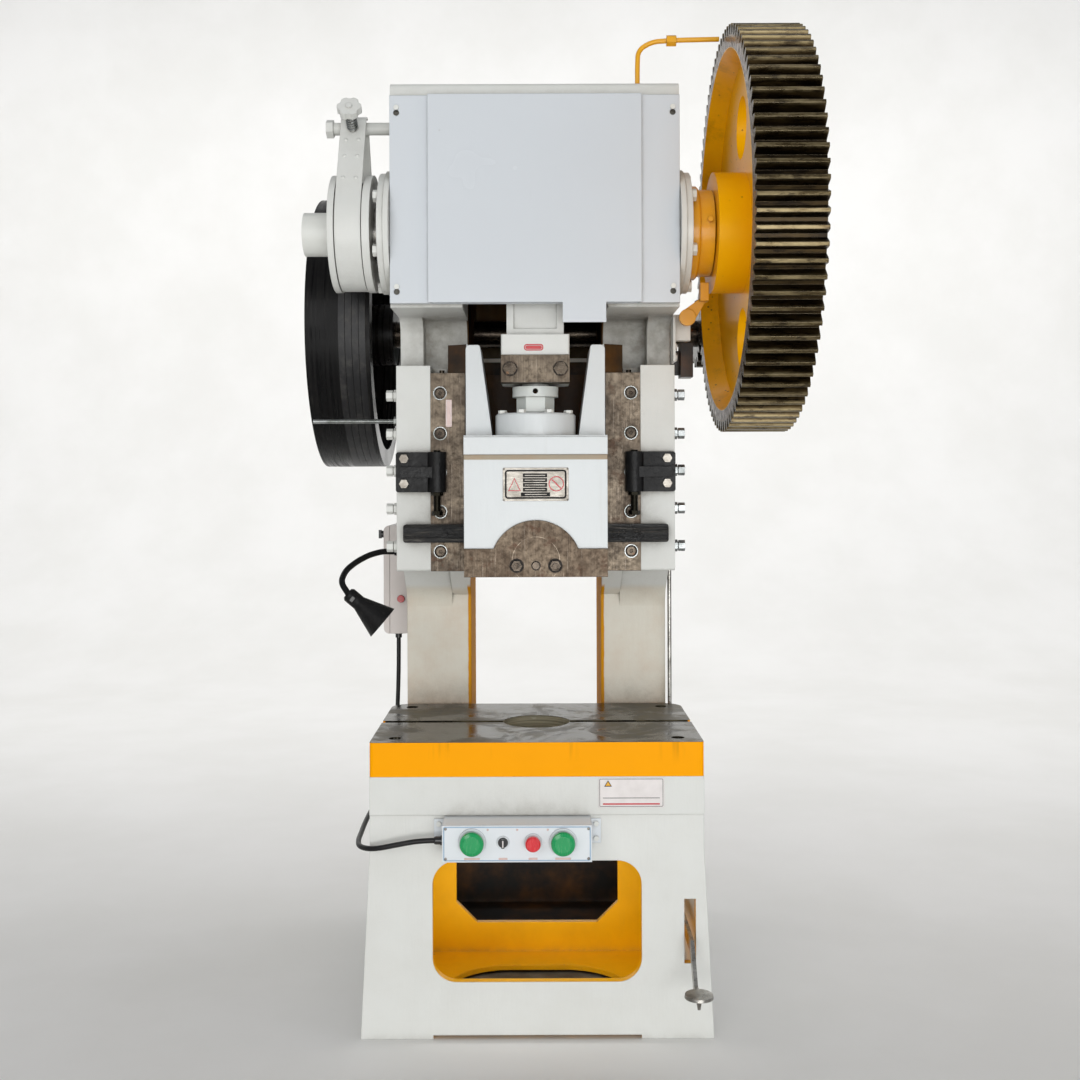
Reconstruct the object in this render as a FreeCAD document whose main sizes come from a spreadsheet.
import FreeCAD, Part
import math
import os
import re
import Sketcher

# Open-back C-frame stamping press. Millimetres, +X to the right, +Y to the back, +Z up.
# The origin is on the floor under the ram's axis, midway between the front four anchor holes.

Vector = FreeCAD.Vector

SIZES = {
    # Fits
    "running_gap": 0.05,      # radial, shaft in bush
    "slide_gap": 0.1,         # normal to each guide flank
    "seat_gap": 0.2,          # bolt in its hole, cap in its pocket
    "free_gap": 0.5,          # parts that pass without touching
    # Pedestal
    "base_half": 350, "base_foot_half": 370, "base_front": -225, "base_back": 600,
    "base_top": 470, "flare_top": 400, "front_plate": 20, "side_plate": 12, "floor_plate": 20,
    "foot_lift": 8, "foot_inner": 218, "window_half": 219, "window_low": 119, "window_high": 373,
    "window_corner": 50, "rib_front": 218, "rib_plate": 16, "rib_window_half": 197,
    "rib_window_low": 90, "rib_corner": 50, "rear_low": 150, "drain_half": 207, "drain_front": -153,
    "drain_back": 127,
    "anchor_x": 290, "anchor_y": 160, "anchor_rear_y": 545, "anchor_hole": 11,
    "slot_x": 320, "slot_half": 12, "slot_low": 157, "slot_high": 292,
    # Bed and bolster
    "bed_half": 350, "bed_front": -230, "bed_back": 560, "bed_top": 550, "bed_corner": 30,
    "slug_hole": 85, "bolster_half": 350, "bolster_depth": 230, "bolster_top": 622,
    "bolster_corner": 45, "bolster_hole": 75, "slot_mouth": 11, "slot_foot": 18.5, "slot_lip": 22,
    "slot_deep": 38, "bolster_bolt_x": 300, "bolster_bolt_y": 185, "bolster_bolt": 8,
    # Columns, guide housing, neck and head
    "inner_half": 160, "head_half": 318, "column_front": 250, "column_back": 485,
    "haunch_low": 888, "haunch_front": 215, "housing_front": 18, "housing_low": 962,
    "housing_high": 1432, "shoulder_half": 206, "shoulder_front": 102, "throat_front": 130,
    "neck_front": 118, "neck_recess": 175, "neck_strip": 264, "neck_fillet": 45,
    "head_front": -90, "head_back": 600, "head_low": 1550, "head_top": 2046, "head_corner": 18,
    "tail_low": 1450, "top_plate": 30, "back_plate": 30,
    "cross_wall": 45, "cross_low": 1000, "cross_high": 1488,
    "pocket_depth": 83, "pocket_margin": 35, "pocket_low": 600, "pocket_high": 1340,
    # Crank line
    "crank_z": 1728, "throw": 50, "journal": 60, "bush_wall": 15, "boss_radius": 140,
    "boss_plate": 12, "flange_radius": 135, "flange_plate": 14, "flange_bolts_at": 120,
    "flange_bolt": 8, "flange_head": 24, "flange_head_high": 10, "flange_turn": 33,
    "pin_radius": 52, "pin_bush_wall": 6, "web_radius": 104, "web_in": 80, "web_out": 150,
    "left_end": -521, "left_stub": 49, "right_end": 592, "gear_seat": 45,
    # Brake
    "drum_in": -360, "drum_out": -452, "drum_flange": 131, "drum_face": 116, "drum_lip_in": -377,
    "drum_lip_out": -438, "lining_wall": 8, "band_wall": 4, "band_edge": 2, "stud_z": 1968,
    "stud_radius": 14, "stud_end": -455, "strap_radius": 26, "rod_lean": 30, "knob_y": -80,
    "knob_z": 1985, "knob_radius": 27, "knob_high": 16, "brake_rod": 6, "spring_radius": 11,
    "spring_wire": 1.75, "spring_pitch": 7,
    # Clutch
    "ring_one": 105, "ring_two": 97, "ring_in": 346, "ring_mid": 365, "ring_out": 397,
    # Gear train
    "gear_module": 10, "gear_teeth": 88, "pinion_teeth": 16, "gear_in": 426, "gear_out": 568,
    "tooth_play": 0.4, "gear_rim": 400, "gear_rim_thin": 385, "gear_hub": 135, "gear_hub_in": 400,
    "web_left": 470, "web_right": 500, "gear_holes_at": 240, "gear_hole": 70, "gear_bush_wall": 12,
    "shaft_y": 491, "shaft_z": 1557, "shaft_radius": 35, "shaft_left": -572, "shaft_right": 590,
    "shaft_bush_wall": 18, "shaft_flange": 85, "shaft_flange_plate": 22,
    # Flywheel, motor and belts
    "wheel_radius": 350, "wheel_out": -550, "wheel_in": -395, "wheel_rim": 45, "wheel_web": 26,
    "wheel_hub": 80, "wheel_hub_in": -370, "groove_first": -462.75, "groove_pitch": 16.5,
    "groove_deep": 15, "groove_top": 16, "groove_base": 9, "belt_high": 10.5, "belt_play": 0.4,
    "motor_y": 970, "motor_pulley": 82, "motor_radius": 130, "motor_left": -270, "motor_right": 120,
    "motor_shaft": 19, "motor_foot_z": 1397, "shelf_plate": 18, "shelf_back": 1120, "shelf_half": 190,
    # Slide, connecting rod and screw
    "ram_half": 157, "ram_depth": 110, "ram_low": 958, "ram_high": 1268, "cheek_top": 1475,
    "cheek_wall": 32, "cheek_root": 60, "cheek_front": -20, "lip_low": 1226, "lip_proud": 8,
    "rail_y": 60, "rail_apex": 202, "rail_mouth": 30, "rail_tip": 6, "rail_top": 1482,
    "gib_half": 240, "gib_bolt_x": 218, "gib_low": 962, "gib_high": 1415,
    "stop_x": 224, "stop_inner": 205, "stop_low": 1143, "stop_high": 1234, "stop_head": 1090,
    "stop_boss": 21, "stop_bolt_x": 299, "stop_bolt_low": 1162, "stop_bolt_high": 1219,
    "rod_half": 64, "rod_depth": 42, "big_end_half": 74, "big_front": -78, "big_back": 128,
    "big_reach": 86, "cosine_gap": 11, "clamp_half": 76, "clamp_low": 1386, "clamp_high": 1493,
    "clamp_split": -26, "clamp_front": -72, "clamp_cap_high": 1447, "clamp_bolt_x": 56,
    "clamp_bolt_z": 1416, "clamp_bolt": 8, "screw_radius": 30, "screw_top": 1600, "screw_bore_top": 1612,
    "collar_radius": 52, "collar_low": 1357, "collar_high": 1380, "hex_flats": 74, "hex_low": 1323,
    "neck_radius": 28, "ball_radius": 46, "ball_z": 1226, "gland_radius": 91, "gland_high": 1319,
    "gland_bolts_at": 80, "gland_bolt": 5,
    "bar_half": 300, "bar_low": 1029, "bar_high": 1070, "bar_front": -15, "bar_back": 12,
    "bar_travel": 25, "clamp_strip": 1020, "clamp_arc": 100, "clamp_arc_z": 982, "clamp_proud": 4,
    "shank_radius": 25, "shank_deep": 70, "stud_x": 42, "stud_at_z": 983,
    # Trip, pedal and solenoid
    "trip_x": 346, "trip_z": 1538, "trip_front": 10, "trip_back": 256, "trip_shaft": 8,
    "link_x": 328, "link_y": 242, "link_radius": 5, "link_low": 219, "dog_left": 373,
    "dog_right": 392, "dog_low": 1573, "dog_high": 1614, "pedal_y": 330, "pedal_z": 205,
    "pedal_pin": 8, "pedal_wall": 8, "tread_y": -368, "tread_z": 150, "tread_radius": 29,
    "solenoid_x": 370,
    # Control box and cabinet
    "box_left": -193, "box_right": 112, "box_front": -300, "box_low": 393, "box_high": 468,
    "box_wall": 3, "button_z": 434, "palm_left": -132, "palm_right": 53, "palm_radius": 24.5,
    "selector_at": -69, "selector_radius": 9.5, "stop_at": -8, "stop_radius": 15.5,
    "cord_radius": 5.5, "cabinet_out": -394, "cabinet_in": -330, "cabinet_front": 400,
    "cabinet_back": 700, "cabinet_low": 774, "cabinet_high": 1053, "cabinet_wall": 3,
    "cabinet_corner": 14, "door_deep": 16,
}

document = FreeCAD.newDocument("stamping_press")
sheet = document.addObject("Spreadsheet::Sheet", "dims")
for row, (alias, value) in enumerate(SIZES.items(), 1):
    sheet.set(f"A{row}", alias)
    sheet.set(f"B{row}", str(value))
    sheet.setAlias(f"B{row}", alias)
document.recompute()

pieces = []
fasteners = {"frame_bolts": [], "socket_screws": [], "adjuster_screws": [], "ram_bolts": []}


# ---- Helpers: every size given to them is a number, a size's name or a formula of names ----

def size(alias):
    """The sheet's value, for the shapes that have no sketch or primitive of their own."""
    return float(sheet.get(alias))


def bind(item, path, text):
    """Ties one property to the sheet."""
    names = r"[a-z][a-z_0-9]*"
    item.setExpression(path, re.sub(names, lambda word: "dims." + word.group()
                                    if word.group() in SIZES else word.group(), str(text)))


def place(item, x, y, z):
    for axis, text in zip("xyz", (x, y, z)):
        bind(item, f"Placement.Base.{axis}", text)


TURNS = {"x": FreeCAD.Rotation(Vector(0, 1, 0), 90), "y": FreeCAD.Rotation(Vector(1, 0, 0), -90),
         "z": FreeCAD.Rotation()}


def stand(item, axis, low, across):
    """Stands a primitive with its base at low on the axis; across is its other two coordinates."""
    item.Placement.Rotation = TURNS[axis]
    spot = list(across)
    spot.insert("xyz".index(axis), low)
    place(item, *spot)


def block(name, x, y, z):
    """A box between the low and high ends given for each axis."""
    item = document.addObject("Part::Box", name)
    for length, (low, high) in zip(("Length", "Width", "Height"), (x, y, z)):
        bind(item, length, f"({high}) - ({low})")
    place(item, x[0], y[0], z[0])
    return item


def rod(name, axis, span, across, radius):
    """A cylinder along the axis from span's low end to its high end."""
    item = document.addObject("Part::Cylinder", name)
    bind(item, "Radius", radius)
    bind(item, "Height", f"({span[1]}) - ({span[0]})")
    stand(item, axis, span[0], across)
    return item


def cone(name, axis, span, across, radii):
    item = document.addObject("Part::Cone", name)
    bind(item, "Radius1", radii[0])
    bind(item, "Radius2", radii[1])
    bind(item, "Height", f"({span[1]}) - ({span[0]})")
    stand(item, axis, span[0], across)
    return item


def ball(name, spot, radius):
    item = document.addObject("Part::Sphere", name)
    bind(item, "Radius", radius)
    place(item, *spot)
    return item


def hexagon(name, axis, span, across, flats):
    """A six-sided bar, sized across its flats."""
    item = document.addObject("Part::Prism", name)
    item.Polygon = 6
    bind(item, "Circumradius", f"({flats}) / sqrt(3)")
    bind(item, "Height", f"({span[1]}) - ({span[0]})")
    stand(item, axis, span[0], across)
    return item


def fuse(name, items):
    item = document.addObject("Part::MultiFuse", name)
    item.Shapes = items
    return item


def cut(name, base, tools):
    item = document.addObject("Part::Cut", name)
    item.Base = base
    item.Tool = tools[0] if len(tools) == 1 else fuse(name + "_tools", tools)
    return item


def group(name, items):
    """Separate solids that share one node."""
    item = document.addObject("Part::Compound", name)
    item.Links = items
    return item


def mirrored(name, source):
    """The same piece on the other side of the press."""
    item = document.addObject("Part::Mirroring", name)
    item.Source = source
    item.Normal = Vector(1, 0, 0)
    return item


def keep(item):
    """Marks an object as a sub-part; its Label names its file."""
    pieces.append(item)
    return item


def outline(body, name, plane, loops, start):
    """A sketch of closed loops. A loop is a list of (u, v) corners or ("circle", u, v, radius)."""
    sketch = body.newObject("Sketcher::SketchObject", name)
    role = [item for item in body.Origin.OriginFeatures if item.Role == plane + "_Plane"][0]
    sketch.AttachmentSupport = (role, [""])
    sketch.MapMode = "FlatFace"
    bind(sketch, "AttachmentOffset.Base.z", start)
    for loop in loops:
        if loop[0] == "circle":
            edge = sketch.addGeometry(Part.Circle(Vector(1, 1, 0), Vector(0, 0, 1), 5), False)
            rules = [Sketcher.Constraint("DistanceX", -1, 1, edge, 3, 1.0),
                     Sketcher.Constraint("DistanceY", -1, 1, edge, 3, 1.0),
                     Sketcher.Constraint("Radius", edge, 5.0)]
            for rule, text in zip(rules, loop[1:]):
                bind(sketch, f"Constraints[{sketch.addConstraint(rule)}]", text)
            continue
        count = len(loop)
        first = sketch.GeometryCount
        spots = [Vector(10 * math.cos(math.tau * i / count), 10 * math.sin(math.tau * i / count), 0)
                 for i in range(count)]
        for i in range(count):
            sketch.addGeometry(Part.LineSegment(spots[i], spots[(i + 1) % count]), False)
        for i in range(count):
            sketch.addConstraint(Sketcher.Constraint("Coincident", first + i, 2, first + (i + 1) % count, 1))
        for i, corner in enumerate(loop):
            across = Sketcher.Constraint("DistanceX", -1, 1, first + i, 1, spots[i].x)
            along = Sketcher.Constraint("DistanceY", -1, 1, first + i, 1, spots[i].y)
            bind(sketch, f"Constraints[{sketch.addConstraint(across)}]", corner[0])
            bind(sketch, f"Constraints[{sketch.addConstraint(along)}]", corner[1])
    return sketch


def slab(name, plane, span, loops):
    """A padded outline. A corner given as (u, v, radius) is rounded along the pad."""
    body = document.addObject("PartDesign::Body", name)
    start = f"-({span[0]})" if plane == "XZ" else span[0]
    sketch = outline(body, name + "_outline", plane, loops, start)
    pad = body.newObject("PartDesign::Pad", name + "_pad")
    pad.Profile = sketch
    pad.Reversed = plane == "XZ"
    bind(pad, "Length", f"({span[1]}) - ({span[0]})")
    rounded = {}
    first = 0
    for loop in loops:
        if loop[0] == "circle":
            first += 1
            continue
        for i, corner in enumerate(loop):
            if len(corner) == 3:
                rounded.setdefault(corner[2], []).append(first + i)
        first += len(loop)
    for radius, corners in rounded.items():
        document.recompute()
        spots = [sketch.Placement.multVec(sketch.Geometry[i].StartPoint) for i in corners]
        normal = sketch.Placement.Rotation.multVec(Vector(0, 0, 1))
        edges = [f"Edge{number}" for number, edge in enumerate(body.Shape.Edges, 1)
                 if runs_through(edge, normal, spots)]
        solid = body.Tip
        fillet = body.newObject("PartDesign::Fillet", name + "_round")
        fillet.Base = (solid, edges)
        bind(fillet, "Radius", radius)
    return body


def runs_through(edge, normal, spots):
    """Whether a straight edge lies along the normal through one of the spots."""
    straight = edge.Curve.TypeId == "Part::GeomLine"
    if not straight or edge.tangentAt(edge.FirstParameter).cross(normal).Length > 1e-6:
        return False
    return any((edge.Vertexes[0].Point - spot).cross(normal).Length < 1e-4 for spot in spots)


def turned(name, axis, across, corners):
    """A piece turned about the axis from its half section, given as (along, radius) corners."""
    body = document.addObject("PartDesign::Body", name)
    if axis == "x":
        plane, loop, line = "XY", corners, "H_Axis"
    else:
        plane, loop, line = {"y": "XY", "z": "XZ"}[axis], [(r, a) for a, r in corners], "V_Axis"
    sketch = outline(body, name + "_section", plane, [loop], "0")
    revolution = body.newObject("PartDesign::Revolution", name + "_turned")
    revolution.Profile = sketch
    revolution.ReferenceAxis = (sketch, [line])
    revolution.Angle = 360
    spot = list(across)
    spot.insert("xyz".index(axis), "0")
    place(body, *spot)
    return body


def shaped(name, shape):
    """A sub-part whose form only Part's own functions give."""
    item = document.addObject("Part::Feature", name)
    where = shape.Placement
    item.Shape = shape
    item.Placement = where
    return item


def bolt(name, axis, seat, tip, across, shank, flats, head, outward):
    """A hexagon bolt: head outside the seat, shank from the seat to the tip; outward is + or -."""
    if outward == "+":
        top, hidden = (seat, f"({seat}) + ({head})"), (tip, seat)
    else:
        top, hidden = (f"({seat}) - ({head})", seat), (seat, tip)
    return fuse(name, [hexagon(name + "_head", axis, top, across, flats),
                       rod(name + "_shank", axis, hidden, across, shank)])


def loop_wire(x, big, small):
    """The closed line at x that wraps two circles in the YZ plane, each given as (y, z, radius)."""
    heading = math.atan2(small[1] - big[1], small[0] - big[0])
    lean = math.acos((big[2] - small[2]) / math.hypot(small[0] - big[0], small[1] - big[1]))

    def on(circle, angle):
        return Vector(x, circle[0] + circle[2] * math.cos(angle), circle[1] + circle[2] * math.sin(angle))

    tops = on(big, heading + lean), on(small, heading + lean)
    bases = on(small, heading - lean), on(big, heading - lean)
    return Part.Wire([Part.LineSegment(*tops).toShape(),
                      Part.Arc(tops[1], on(small, heading), bases[0]).toShape(),
                      Part.LineSegment(*bases).toShape(),
                      Part.Arc(bases[1], on(big, heading + math.pi), tops[0]).toShape()])


def swept_route(name, points, radius):
    """A round section along straight runs joined by tangent arcs; prints each arc's radius."""
    edges, last, arcs = [], points[0], []
    for before, corner, after in zip(points, points[1:], points[2:]):
        into, out = (corner - before).normalize(), (after - corner).normalize()
        turn = into.getAngle(out)
        reach = 0.45 * min((corner - before).Length, (after - corner).Length)
        bend = reach / math.tan(turn / 2)
        arcs.append(round(bend, 1))
        start, finish = corner - into * reach, corner + out * reach
        middle = corner + (out - into).normalize() * (bend / math.cos(turn / 2) - bend)
        edges += [Part.LineSegment(last, start).toShape(), Part.Arc(start, middle, finish).toShape()]
        last = finish
    edges.append(Part.LineSegment(last, points[-1]).toShape())
    path = Part.Wire(edges)
    heading = (points[1] - points[0]).normalize()
    section = Part.Wire(Part.makeCircle(radius, points[0], heading))
    shape = path.makePipeShell([section], True, True)
    print(name, "arc radii", arcs, "length", round(path.Length, 1),
          "volume share", round(shape.Volume / (math.pi * radius ** 2 * path.Length), 4))
    return shaped(name, shape)


# ---- Pedestal, bed and frame ----

def pedestal():
    """A welded base: flared shell, floor plate with feet, windowed front plate and inner rib."""
    shell = slab("base_shell", "XZ", ("base_front", "base_back"),
                 [[("-base_foot_half", 0), ("base_foot_half", 0), ("base_half", "flare_top"),
                   ("base_half", "base_top"), ("-base_half", "base_top"), ("-base_half", "flare_top")]])
    hollow = slab("base_hollow", "XZ", ("base_front + front_plate", "base_back - front_plate"),
                  [[("-base_foot_half + side_plate", "floor_plate"),
                    ("base_foot_half - side_plate", "floor_plate"),
                    ("base_half - side_plate", "flare_top"),
                    ("base_half - side_plate", "base_top - side_plate"),
                    ("-base_half + side_plate", "base_top - side_plate"),
                    ("-base_half + side_plate", "flare_top")]])
    window = slab("base_window", "XZ", ("base_front - 1", "base_front + front_plate + 1"),
                  [[(x, z, "window_corner") for x, z in (
                      ("-window_half", "window_low"), ("window_half", "window_low"),
                      ("window_half", "window_high"), ("-window_half", "window_high"))]])
    rear = slab("base_rear_window", "XZ", ("base_back - front_plate - 1", "base_back + 1"),
                [[(x, z, "rib_corner") for x, z in (
                    ("-rib_window_half", "rear_low"), ("rib_window_half", "rear_low"),
                    ("rib_window_half", "window_high"), ("-rib_window_half", "window_high"))]])
    rib = slab("base_rib", "XZ", ("rib_front", "rib_front + rib_plate"),
               [[("-base_foot_half + side_plate", "floor_plate"),
                 ("base_foot_half - side_plate", "floor_plate"),
                 ("base_half - side_plate", "flare_top"),
                 ("base_half - side_plate", "base_top - side_plate"),
                 ("-base_half + side_plate", "base_top - side_plate"),
                 ("-base_half + side_plate", "flare_top")],
                [("-rib_window_half + rib_corner", "rib_window_low"),
                 ("rib_window_half - rib_corner", "rib_window_low"),
                 ("rib_window_half", "rib_window_low + rib_corner"),
                 ("rib_window_half", "window_high"), ("-rib_window_half", "window_high"),
                 ("-rib_window_half", "rib_window_low + rib_corner")]])
    lever_gap = block("lever_gap", ("slot_x - 2 * slot_half", "slot_x + slot_half + 2"),
                      ("rib_front - 1", "rib_front + rib_plate + 1"), ("rib_window_low", "slot_high"))
    lift = block("foot_relief", ("-foot_inner", "foot_inner"), ("base_front - 1", "base_back + 1"),
                 (-1, "foot_lift"))
    across = "(drain_back - drain_front) / 2"
    middle = "(drain_back + drain_front) / 2"
    drain = [rod("drain_end", "z", (0, "floor_plate + 1"), (f"{sign}(drain_half - {across})", middle),
                 across)
             for sign in ("-", "+")]
    drain.append(block("drain_middle", (f"-(drain_half - {across})", f"drain_half - {across}"),
                       ("drain_front", "drain_back"), (0, "floor_plate + 1")))
    anchors = [rod("anchor_hole", "z", (-1, "floor_plate + 1"), (f"{sign}anchor_x", y), "anchor_hole")
               for sign in ("-", "+") for y in ("-anchor_y", "anchor_y", "anchor_rear_y")]
    slug = rod("base_slug_hole", "z", ("base_top - side_plate - 1", "base_top + 1"), (0, 0), "slug_hole")
    slot = block("pedal_slot", ("slot_x - slot_half", "slot_x + slot_half"),
                 ("base_front - 1", "base_front + front_plate + 1"), ("slot_low", "slot_high"))
    link = rod("base_link_hole", "z", ("base_top - side_plate - 1", "base_top + 1"),
               ("link_x", "link_y"), "link_radius + 4")
    stem = block("pivot_stem", ("slot_x - 32", "slot_x - 14"), ("pedal_y - 24", "pedal_y + 24"),
                 ("floor_plate - 1", "pedal_z + 22"))
    pin = rod("pivot_pin", "x", ("slot_x - 20", "slot_x + pedal_wall"), ("pedal_y", "pedal_z"), "pedal_pin")
    walls = fuse("base_walls", [cut("base_hollowed", shell, [hollow]), cut("base_rib_gapped", rib,
                                                                           [lever_gap])])
    opened = cut("base_opened", walls, [window, rear, lift, slug, slot, link] + drain + anchors)
    keep(fuse("pedestal", [opened, stem, pin]))


def side_profile(name, span, front, neck):
    """One slice of a frame side, from the bed to the top of the head."""
    corners = [("column_front", "bed_top"), ("column_front", "haunch_low"), (front, "housing_low", 40)]
    if front == "housing_front":
        corners = [("column_front", "bed_top"), ("column_front", "haunch_low", 60),
                   ("haunch_front - 60", "housing_low", 40), (front, "housing_low", 6)]
    corners += [(front, "housing_high"), (neck, "housing_high"), (neck, "head_low", "neck_fillet"),
                ("head_front", "head_low"), ("head_front", "head_top", "head_corner"),
                ("head_back", "head_top", "head_corner"), ("head_back", "tail_low"),
                ("column_back", "tail_low - 70"), ("column_back", "bed_top")]
    return slab(name, "YZ", span, [corners])


def frame():
    """The one-piece C-frame: bed, columns, guide housing, neck and head."""
    inner = side_profile("side_inner", ("inner_half", "shoulder_half"), "throat_front", "neck_recess")
    recessed = side_profile("side_middle", ("shoulder_half", "neck_strip"), "housing_front", "neck_recess")
    outer = side_profile("side_outer", ("neck_strip", "head_half"), "housing_front", "neck_front")
    gib_room = block("gib_room", ("inner_half - 1", "gib_half + slide_gap"),
                     ("housing_front - 1", "shoulder_front"), ("housing_low - 1", "housing_high + 1"))
    pocket = slab("column_pocket", "YZ", ("head_half - pocket_depth", "head_half + 1"),
                  [[("column_front + pocket_margin", "pocket_low", 25),
                    ("column_front + pocket_margin", "pocket_high", 25),
                    ("column_back - pocket_margin", "pocket_high", 25),
                    ("column_back - pocket_margin", "pocket_low", 25)]])
    right = cut("right_side", fuse("right_slices", [inner, recessed, outer]), [gib_room, pocket])
    left = mirrored("left_side", right)
    bed = slab("bed_plate", "XY", ("base_top", "bed_top"),
               [[("-bed_half", "bed_front"), ("bed_half", "bed_front"),
                 ("bed_half", "bed_back", "bed_corner"), ("-bed_half", "bed_back", "bed_corner")]])
    plates = [block("cross_wall", ("-inner_half", "inner_half"), ("column_back - cross_wall", "column_back"),
                    ("cross_low", "cross_high")),
              slab("top_plate", "YZ", ("-inner_half", "inner_half"),
                   [[("head_front", "head_top - top_plate"), ("head_front", "head_top", "head_corner"),
                     ("head_back", "head_top", "head_corner"), ("head_back", "head_top - top_plate")]]),
              block("back_plate", ("-inner_half", "inner_half"), ("head_back - back_plate", "head_back"),
                    ("tail_low", "head_top - top_plate"))]
    bosses = [rod("crank_boss", "x", span, (0, "crank_z"), "boss_radius")
              for span in (("head_half", "head_half + boss_plate"), ("-head_half - boss_plate",
                                                                     "-head_half"))]
    bores = [rod("crank_bore", "x", ("-head_half - 50", "head_half + 50"), (0, "crank_z"),
                 "journal + bush_wall"),
             rod("pinion_bore", "x", ("-head_half - 50", "head_half + 50"), ("shaft_y", "shaft_z"),
                 "shaft_radius + shaft_bush_wall"),
             rod("bed_slug_hole", "z", ("base_top - 1", "bed_top + 1"), (0, 0), "slug_hole"),
             rod("bed_link_hole", "z", ("base_top - 1", "bed_top + 1"), ("link_x", "link_y"),
                 "link_radius + 4")]
    bores += [rod("flange_hole", "x", ("-head_half - 30", "head_half + 30"), across,
                  "flange_bolt + seat_gap") for across in flange_spots()]
    bores += [rod("shelf_hole", "y", ("head_back - 40", "head_back + 1"), across, 8.2)
              for across in shelf_spots()]
    for sign in ("-", "+"):
        bores += [rod("gib_bolt_hole", "y", ("shoulder_front - 1", "shoulder_front + 32"),
                      (f"{sign}gib_bolt_x", z), 7.7) for z in GIB_BOLTS]
        bores += [rod("adjuster_hole", "x", ("gib_half - 1", "head_half + 1") if sign == "+" else
                      ("-head_half - 1", "-gib_half + 1"), ("rail_y", z), 8.2) for z in ADJUSTERS]
    bores += [rod("bolster_bolt_hole", "z", ("bed_top - 40", "bed_top + 1"), across,
                  "bolster_bolt + seat_gap") for across in bolster_spots()]
    keep(cut("c_frame", fuse("frame_casting", [right, left, bed] + plates + bosses), bores))


ADJUSTERS = (1366, 1277, 1192, 1104, 1017)
GIB_BOLTS = (1369, 1277, 1188, 1098, 1007)


def flange_spots():
    """Centres (y, z) of the six bolts round each crank bearing."""
    return [(f"-flange_bolts_at * cos((flange_turn + {step}) * 1 deg)",
             f"crank_z + flange_bolts_at * sin((flange_turn + {step}) * 1 deg)") for step in range(0, 360,
                                                                                                   60)]


def shelf_spots():
    """Centres (x, z) of the bolts that hold the motor shelf."""
    return [(x, f"motor_foot_z + {rise}") for x in ("-head_half + 60", "head_half - 60") for rise in (75,
                                                                                                      130)]


def bolster_spots():
    return [(f"{a}bolster_bolt_x", f"{b}bolster_bolt_y") for a in "-+" for b in "-+"]


def bolster():
    """The work table: a slug hole and one T-slot from each side along the centre line."""
    plate = slab("bolster_blank", "XY", ("bed_top", "bolster_top"),
                 [[("-bolster_half", "-bolster_depth", 8), ("bolster_half", "-bolster_depth", 8),
                   ("bolster_half", "bolster_depth", "bolster_corner"),
                   ("-bolster_half", "bolster_depth", "bolster_corner")]])
    tools = [rod("bolster_bore", "z", ("bed_top - 1", "bolster_top + 1"), (0, 0), "bolster_hole")]
    for span in (("-bolster_half - 1", "-bolster_hole / 2"), ("bolster_hole / 2", "bolster_half + 1")):
        tools.append(block("slot_throat", span, ("-slot_mouth", "slot_mouth"),
                           ("bolster_top - slot_lip - 1", "bolster_top + 1")))
        tools.append(block("slot_tee", span, ("-slot_foot", "slot_foot"),
                           ("bolster_top - slot_deep", "bolster_top - slot_lip")))
    for across in bolster_spots():
        tools.append(rod("bolster_bolt_bore", "z", ("bed_top - 1", "bolster_top"), across,
                         "bolster_bolt + seat_gap"))
        tools.append(rod("bolster_counterbore", "z", ("bolster_top - 18", "bolster_top + 1"), across, 14))
    keep(cut("bolster_plate", plate, tools))
    screws = []
    for across in bolster_spots():
        head = rod("cap_head", "z", ("bolster_top - 18", "bolster_top - 4"), across, 12)
        shank = rod("cap_shank", "z", ("bed_top - 35", "bolster_top - 18"), across, "bolster_bolt")
        socket = hexagon("cap_socket", "z", ("bolster_top - 12", "bolster_top"), across, 10)
        screws.append(cut("cap_screw", fuse("cap_blank", [head, shank]), [socket]))
    fasteners["socket_screws"] += screws


def head_cover():
    """Folded sheet over the head's front with a raised middle panel and four keyholes."""
    def tray(name, half, low, high, front, back, wall):
        skin = block(name, (f"-({half})", half), (front, back), (low, high))
        room = block(name + "_room", (f"-({half}) + {wall}", f"({half}) - {wall}"),
                     (f"({front}) + {wall}", f"({back}) + 1"), (f"({low}) + {wall}", f"({high}) - {wall}"))
        return cut(name + "_tray", skin, [room])
    sheet_low, sheet_high = "head_low + 7", "head_top - 35"
    wide = tray("cover_sheet", "head_half - 1", sheet_low, sheet_high, "head_front - 20", "head_front", 3)
    raised = tray("cover_panel", 233, sheet_low, sheet_high, "head_front - 31", "head_front - 20", 3)
    opening = block("cover_opening", (-227, 227), ("head_front - 28", "head_front - 10"),
                    (f"{sheet_low} - 1", f"{sheet_high} - 3"))
    keyholes = []
    for x in (-302, 302):
        for z in (1984, 1593):
            keyholes.append(rod("keyhole_slot", "y", ("head_front - 21", "head_front - 10"), (x, z), 3))
            keyholes.append(rod("keyhole_eye", "y", ("head_front - 21", "head_front - 10"),
                                (x, f"{z} - 11"), 6.5))
    tab = block("cover_tab", (60, 155), ("head_front - 31", "head_front - 28"), (1513, f"{sheet_low} + 6"))
    sheeting = cut("cover_cut", fuse("cover_sheets", [wide, raised]), [opening] + keyholes)
    keep(fuse("head_cover", [sheeting, tab]))
    screws = []
    for x in (-302, 302):
        for z in (1984, 1593):
            pan = rod("pan_head", "y", ("head_front - 24", "head_front - 20"), (x, z), 5.5)
            shank = rod("pan_shank", "y", ("head_front - 20", "head_front"), (x, z), 2.5)
            screws.append(fuse("pan_screw", [pan, shank]))
    fasteners["frame_bolts"] += screws


# ---- Bearings, gibs, brackets and the other pieces on the frame ----

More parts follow.
